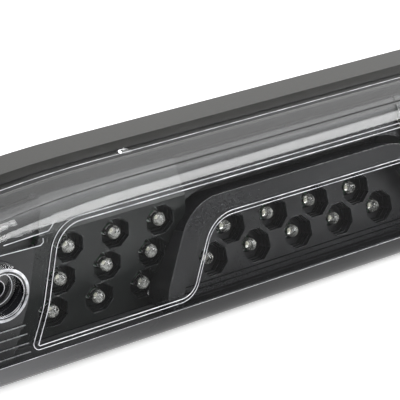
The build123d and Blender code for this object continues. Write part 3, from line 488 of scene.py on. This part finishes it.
def finish_lens():
    """Black out the lens: its chin, the back of its flange and the outer wall of its cups.

    The chin's outer faces are glossy. The moulding gate on the flange stays clear."""
    lens = nodes["outer_lens"].data
    lens.materials.append(blackout)
    lens.materials.append(chin_backing_and_painted_reflection)
    for face in lens.polygons:
        middle = face.center
        up_face = (middle - FACE_ORIGIN).dot(FACE_UP)
        between_ends = middle.y < CHIN_REAR_Y * MM and abs(middle.x) < CHIN_END_X * MM
        chin = up_face < CHIN_TOP * MM and between_ends
        to_axis = Vector((0.0, CHIN_AXIS.y - middle.y, CHIN_AXIS.z - middle.z))
        inner_chin = chin and face.normal.dot(to_axis) > 0
        beside_gate = abs(middle.x - GATE_X * MM) > GATE_HALF * MM
        flange = middle.y > FLANGE_START_Y * MM and face.normal.y > 0.5 and beside_gate
        from_cup = math.hypot(abs(middle.x) - CUP_X * MM, middle.z - CUP_Z * MM)
        behind_face = middle.y - FACE_Y * MM - middle.z * math.tan(RAKE)
        on_cup = CUP_WALL_NEAR * MM < from_cup < CUP_WALL_FAR * MM
        cup_wall = on_cup and behind_face > CUP_WALL_START * MM
        if inner_chin or flange or cup_wall:
            face.material_index = 1
        elif chin:
            face.material_index = 2


def shade_upward_faces():
    """The black trim is a darker, dead matt black where it faces up, which is painted shade, and satin
    elsewhere.
    """
    for name in UPWARD_PAINTED_SHADE:
        mesh = nodes[name].data
        mesh.materials.append(upward_matt_painted_shade)
        for face in mesh.polygons:
            if face.normal.z > 0.5:
                face.material_index = 1


finish_nodes()
finish_lens()
shade_upward_faces()


# ---------------------------------------------------------------- drawing helpers
def on_face(along, up, proud=0.0):
    """Point of the lit face from millimetres along, up and proud of it."""
    return FACE_ORIGIN + Vector((along * MM, 0, 0)) + FACE_UP * (up * MM) + FACE_NORMAL * (proud * MM)


def rounded(corners):
    """Points along a closed polygon whose corners (x, v, radius) are rounded."""
    path = []
    count = len(corners)
    for i, (x, v, radius) in enumerate(corners):
        here = Vector((x, v))
        if radius == 0:
            path.append(here)
            continue
        before = (Vector(corners[i - 1][:2]) - here).normalized()
        after = (Vector(corners[(i + 1) % count][:2]) - here).normalized()
        half = before.angle(after) / 2
        centre = here + (before + after).normalized() * (radius / math.sin(half))
        start = here + before * (radius / math.tan(half)) - centre
        end = here + after * (radius / math.tan(half)) - centre
        turn = start.angle_signed(end)
        steps = max(3, int(abs(turn) / math.radians(5)))
        for k in range(steps + 1):
            path.append(centre + Matrix.Rotation(-turn * k / steps, 2) @ start)
    return path


def flipped(corners):
    """The mirror image of a row of corners, running back the other way."""
    return [(-x, v, radius) for x, v, radius in reversed(corners)]


def inset(path, distance):
    """A closed path moved inward, or outward where the distance is negative."""
    count = len(path)
    area = sum(path[i - 1].cross(path[i]) for i in range(count))
    sign = 1 if area > 0 else -1
    moved = []
    for i in range(count):
        along = (path[(i + 1) % count] - path[i - 1]).normalized()
        moved.append(path[i] + Vector((-along.y, along.x)) * (distance * sign))
    return moved


def circle(centre, axis, radius, sides, turn=0.0):
    """Points around an axis, from a centre in metres and a radius in millimetres."""
    up = axis.cross(SIDEWAYS)
    points = []
    for k in range(sides):
        angle = turn + 2 * math.pi * k / sides
        points.append(centre + (SIDEWAYS * math.cos(angle) + up * math.sin(angle)) * (radius * MM))
    return points


def add_piece(name, data):
    """A new piece that rides on the lamp's one body."""
    piece = bpy.data.objects.new(name, data)
    scene.collection.objects.link(piece)
    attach(piece, "root")


def bead(name, lines, radius, material, closed=False):
    """Fine rounded edges along lines of points, as one piece."""
    data = bpy.data.curves.new(name, "CURVE")
    data.dimensions = "3D"
    data.bevel_depth = radius * MM
    data.bevel_resolution = 2
    for points in lines:
        spline = data.splines.new("POLY")
        spline.points.add(len(points) - 1)
        for spline_point, point in zip(spline.points, points):
            spline_point.co = (*point, 1)
        spline.use_cyclic_u = closed
    data.materials.append(material)
    add_piece(name, data)


def mesh_piece(name, bm, material, smooth):
    """A piece from a finished bmesh, which is freed."""
    data = bpy.data.meshes.new(name)
    bm.to_mesh(data)
    bm.free()
    for face in data.polygons:
        face.use_smooth = smooth
    data.materials.append(material)
    add_piece(name, data)


# ---------------------------------------------------------------- edges that catch the light, drawn in painted highlight colours
def lens_contour():
    """The two edges of the raised contour around the lobes and the centre."""
    outer = rounded(LOBE + flipped(LOBE) + flipped(RECESS) + RECESS)
    inner = inset(outer, CONTOUR_STEP)
    outer_line = [on_face(p.x, p.y, CONTOUR_RISE) for p in outer]
    inner_line = [on_face(p.x, p.y, 2 * CONTOUR_RISE) for p in inner]
    bead("lens_contour_outer_edge", [outer_line], 0.13, edge_highlight_paint, closed=True)
    bead("lens_contour_inner_edge", [inner_line], 0.15, edge_highlight_paint, closed=True)


def chin_crease():
    """The crease where the lit face turns in to the chin."""
    line = [on_face(x, CREASE_UP) for x in range(-CREASE_REACH, CREASE_REACH + 1, 10)]
    bead("lens_chin_crease", [line], 0.08, edge_highlight_paint)


def ledge_edge():
    """A line just inside the outer edge of the ledge that follows the recess of the contour, in a lighter
    grey that is a painted highlight.
    """
    foot = (RECESS[-1][0], RECESS_FLOOR, 0.0)
    corners = [foot] + RECESS[::-1]
    path = inset(rounded(corners + flipped(corners)), -LEDGE_LINE_OUT)
    line = [on_face(p.x, p.y, -LEDGE_DEPTH) for p in path if p.y > RECESS_FLOOR]
    bead("ledge_outer_edge", [line], 0.16, ledge_painted_highlight)


def lens_rear_edge():
    """The full outline of the lens skin, where it steps in to the flange."""
    crown = []
    for k in range(CROWN_STEPS + 1):
        x = CROWN_START + (HALF_LENGTH - CROWN_START) * k / CROWN_STEPS
        drop = CROWN_RADIUS - math.sqrt(CROWN_RADIUS**2 - (x - CROWN_START) ** 2)
        crown.append((x, HALF_HEIGHT - drop, 0.0))
    clear_of_corner = [c for c in crown[:-1] if HALF_LENGTH - c[0] > CORNER_TOP + 0.5]
    corner = (crown[-1][0], crown[-1][1], CORNER_TOP)
    foot = (HALF_LENGTH, -HALF_HEIGHT, CORNER_BOTTOM)
    right = [(0.0, HALF_HEIGHT, 0.0)] + clear_of_corner + [corner, foot]
    outline = rounded(right + flipped([c for c in right if c[0] > 0]))
    line = [Vector((p.x * MM, LENS_STEP_Y * MM, p.y * MM)) for p in outline]
    bead("lens_rear_edge", [line], 0.14, rear_highlight_paint, closed=True)


def end_lines():
    """The fine ridges at both lens ends, and the front edges of the panel ribs behind them, whose light grey
    is a painted highlight.
    """
    ridges = [[on_face(side * x, v) for x, v in line] for side in (-1, 1) for line in END_RIDGES]
    bead("lens_end_ridges", ridges, 0.15, edge_highlight_paint)
    ribs = [
        [on_face(side * x, v + RIB_HALF, -RIB_DEPTH) for x in RIB_ALONG]
        for side in (-1, 1) for v in RIB_UP
    ]
    bead("panel_rib_edges", ribs, 0.22, rib_painted_highlight)


def cup_rims():
    """The flat rim of each screw cup, its two edges, and two rings deep inside the cup."""
    sides = 96
    bm = bmesh.new()
    for side in (-1, 1):
        centre = Vector((side * CUP_X, CUP_FRONT - 0.04, CUP_Z)) * MM
        near, far = [[bm.verts.new(p) for p in circle(centre, FRONT, r, sides)] for r in CUP_RIM]
        for k in range(sides):
            bm.faces.new((near[k], near[k - 1], far[k - 1], far[k]))
    mesh_piece("lens_cup_rims", bm, rim_highlight_paint, smooth=True)
    rings = [
        circle(Vector((side * CUP_X, y, CUP_Z)) * MM, FRONT, radius, sides)
        for side in (-1, 1) for radius, y in CUP_RINGS
    ]
    bead("lens_cup_rim_edges", rings, 0.13, edge_highlight_paint, closed=True)


# ---------------------------------------------------------------- inside each light
def light_tips(node, axis):
    """Front tip of each light body in a node, found from its mesh."""
    up = axis.cross(SIDEWAYS)
    points = [vertex.co for vertex in nodes[node].data.vertices]
    front = max(point.dot(axis) for point in points)
    groups = []
    for point in points:
        flat = Vector((point.dot(SIDEWAYS), point.dot(up)))
        near = [group for group in groups if (flat - group[0]).length < LIGHT_REACH * MM]
        if near:
            near[0].append(flat)
        else:
            groups.append([flat])
    tips = []
    for group in groups:
        across = [p.x for p in group]
        high = [p.y for p in group]
        middle = SIDEWAYS * ((min(across) + max(across)) / 2) + up * ((min(high) + max(high)) / 2)
        tips.append(middle + axis * front)
    return tips


def cone(bm, base, axis, foot_r, top_r, depth, sides, caps=True):
    """A cone frustum that stands on a point in metres; its sizes are in millimetres."""
    turn = Vector((0, 0, 1)).rotation_difference(axis).to_matrix().to_4x4()
    place = Matrix.Translation(base + axis * (depth * MM / 2)) @ turn
    bmesh.ops.create_cone(
        bm, cap_ends=caps, segments=sides, radius1=foot_r * MM, radius2=top_r * MM, depth=depth * MM,
        matrix=place,
    )


def post(bm, foot, axis, wide, thick, tall):
    """A square post that stands on a point in metres; its sizes are in millimetres."""
    basis = Matrix((SIDEWAYS, axis.cross(SIDEWAYS), axis)).transposed().to_4x4()
    place = Matrix.Translation(foot + axis * (tall * MM / 2)) @ basis
    size = Matrix.Diagonal((wide * MM, thick * MM, tall * MM, 1))
    bmesh.ops.create_cube(bm, size=1.0, matrix=place @ size)


def light_cores(name, tips, axis):
    """Lead frame, reflector cup and die of each light, seen through its clear body."""
    frame_bm, die_bm = bmesh.new(), bmesh.new()
    for tip in tips:
        seat = tip - axis * (LIGHT_LENGTH * MM)
        for side, height in zip((-1, 1), LEAD_HEIGHTS):
            lead_foot = seat + SIDEWAYS * (side * LEAD_SHIFT * MM)
            post(frame_bm, lead_foot, axis, wide=0.55, thick=0.5, tall=height)
        reflector = seat + axis * (REFLECTOR_UP * MM)
        bar_foot = reflector - SIDEWAYS * (REFLECTOR_SHIFT * MM)
        post(frame_bm, bar_foot, axis, wide=1.9, thick=0.8, tall=0.5)
        inside = reflector + axis * (REFLECTOR_FLOOR * MM)
        cone(frame_bm, inside, axis, foot_r=0.8, top_r=1.9, depth=1.2, sides=24, caps=False)
        cone(frame_bm, inside, axis, foot_r=0.72, top_r=0.72, depth=0.08, sides=24)
        die_foot = reflector + axis * (DIE_UP * MM)
        cone(die_bm, die_foot, axis, foot_r=0.45, top_r=0.40, depth=0.3, sides=12)
    mesh_piece(name + "_frames", frame_bm, cup_silver, smooth=False)
    mesh_piece(name + "_dies", die_bm, phosphor, smooth=False)


def lights_of(name, node, axis, mouth_back, well_radius):
    """Everything that is added to one group of lights and to the eight-sided wells around them.

    The mouths of the wells lie mouth_back millimetres behind the tips of the lights."""
    tips = light_tips(node, axis)
    light_cores(name, tips, axis)
    flanges = [circle(tip - axis * (FLANGE_BACK * MM), axis, FLANGE_EDGE_R, 40) for tip in tips]
    # The flange edges are drawn near white: a painted highlight.
    bead(name + "_flange_edges", flanges, 0.14, edge_highlight_paint, closed=True)
    half_side = math.pi / 8
    corner = well_radius / math.cos(half_side)
    wells = [circle(tip - axis * (mouth_back * MM), axis, corner, 8, half_side) for tip in tips]
    # The well edges are lighter grey than the bezel: a painted highlight.
    bead(name + "_well_edges", wells, 0.10, ledge_painted_highlight, closed=True)


lens_contour()
chin_crease()
ledge_edge()
lens_rear_edge()
end_lines()
cup_rims()
lights_of("left_light", "left_leds", FRONT, SIDE_DOME + LIGHT_R - SIDE_MOUTH, SIDE_WELL_R)
lights_of("right_light", "right_leds", FRONT, SIDE_DOME + LIGHT_R - SIDE_MOUTH, SIDE_WELL_R)
lights_of("centre_light", "centre_leds", FACE_NORMAL, CENTRE_MOUTH - CENTRE_DOME + LIGHT_R, CENTRE_WELL_R)


# ---------------------------------------------------------------- studio, in metres
# The sky's brightness follows y plus a share of z: each end is (that sum, brightness).
FLOOR_RADIUS, FLOOR_GLOW = 6.0, 0.45
SKY_DARK, SKY_LIGHT = (-0.75, 0.14), (0.6, 0.72)
SKY_HEIGHT_SHARE = 0.6
CAMERA_PLACE = Vector((-0.380457, -0.535349, 0.298817))
CAMERA_LOOK = Vector((0.50623, 0.74477, -0.43479))
FOCAL_MM = 162.19


def floor():
    data = bpy.data.meshes.new("studio_floor")
    bm = bmesh.new()
    bmesh.ops.create_circle(bm, cap_ends=True, radius=FLOOR_RADIUS, segments=96)
    bm.to_mesh(data)
    bm.free()
    data.materials.append(pale_paper("floor_pale_paper", FLOOR_GLOW))
    piece = bpy.data.objects.new("studio_floor", data)
    piece.location.z = cad_box[0].z
    scene.collection.objects.link(piece)


def sky():
    """White surroundings, dim low in front of the lamp and bright above and behind it."""
    world = bpy.data.worlds.new("studio")
    scene.world = world
    world.use_nodes = True
    tree = world.node_tree
    background = tree.nodes["Background"]
    background.inputs["Color"].default_value = (1.0, 1.0, 1.0, 1)
    place = tree.nodes.new("ShaderNodeTexCoord")
    parts = tree.nodes.new("ShaderNodeSeparateXYZ")
    lift = tree.nodes.new("ShaderNodeMath")
    lift.operation = "MULTIPLY_ADD"
    lift.inputs[1].default_value = SKY_HEIGHT_SHARE
    shade = tree.nodes.new("ShaderNodeMapRange")
    shade.interpolation_type = "SMOOTHSTEP"
    for end, (place_sum, brightness) in (("Min", SKY_DARK), ("Max", SKY_LIGHT)):
        shade.inputs["From " + end].default_value = place_sum
        shade.inputs["To " + end].default_value = brightness
    tree.links.new(place.outputs["Generated"], parts.inputs[0])
    tree.links.new(parts.outputs["Z"], lift.inputs[0])
    tree.links.new(parts.outputs["Y"], lift.inputs[2])
    tree.links.new(lift.outputs[0], shade.inputs["Value"])
    tree.links.new(shade.outputs["Result"], background.inputs["Strength"])


def soft_box(name, direction, distance, size, radiance):
    """A rectangular lamp that looks at the origin."""
    light = bpy.data.lights.new(name, "AREA")
    light.shape = "RECTANGLE"
    light.size, light.size_y = size
    light.energy = radiance * math.pi * size[0] * size[1]
    lamp = bpy.data.objects.new(name, light)
    lamp.location = Vector(direction).normalized() * distance
    lamp.rotation_euler = (-lamp.location).to_track_quat("-Z", "Y").to_euler()
    scene.collection.objects.link(lamp)


def camera():
    data = bpy.data.cameras.new("photo_view")
    data.sensor_fit = "HORIZONTAL"
    data.sensor_width = 36.0
    data.lens = FOCAL_MM
    data.clip_start, data.clip_end = 0.01, 50.0
    cam = bpy.data.objects.new("photo_view", data)
    cam.location = CAMERA_PLACE
    cam.rotation_euler = CAMERA_LOOK.to_track_quat("-Z", "Y").to_euler()
    scene.collection.objects.link(cam)
    bpy.context.scene.camera = cam


floor()
sky()
soft_box("front_right_box", (0.56, -0.60, 0.54), 1.5, (1.15, 0.92), 5.5)
soft_box("zenith_box", (0.0, 0.05, 1.0), 2.0, (1.0, 1.0), 6.0)
camera()
scene.view_settings.view_transform = "Standard"
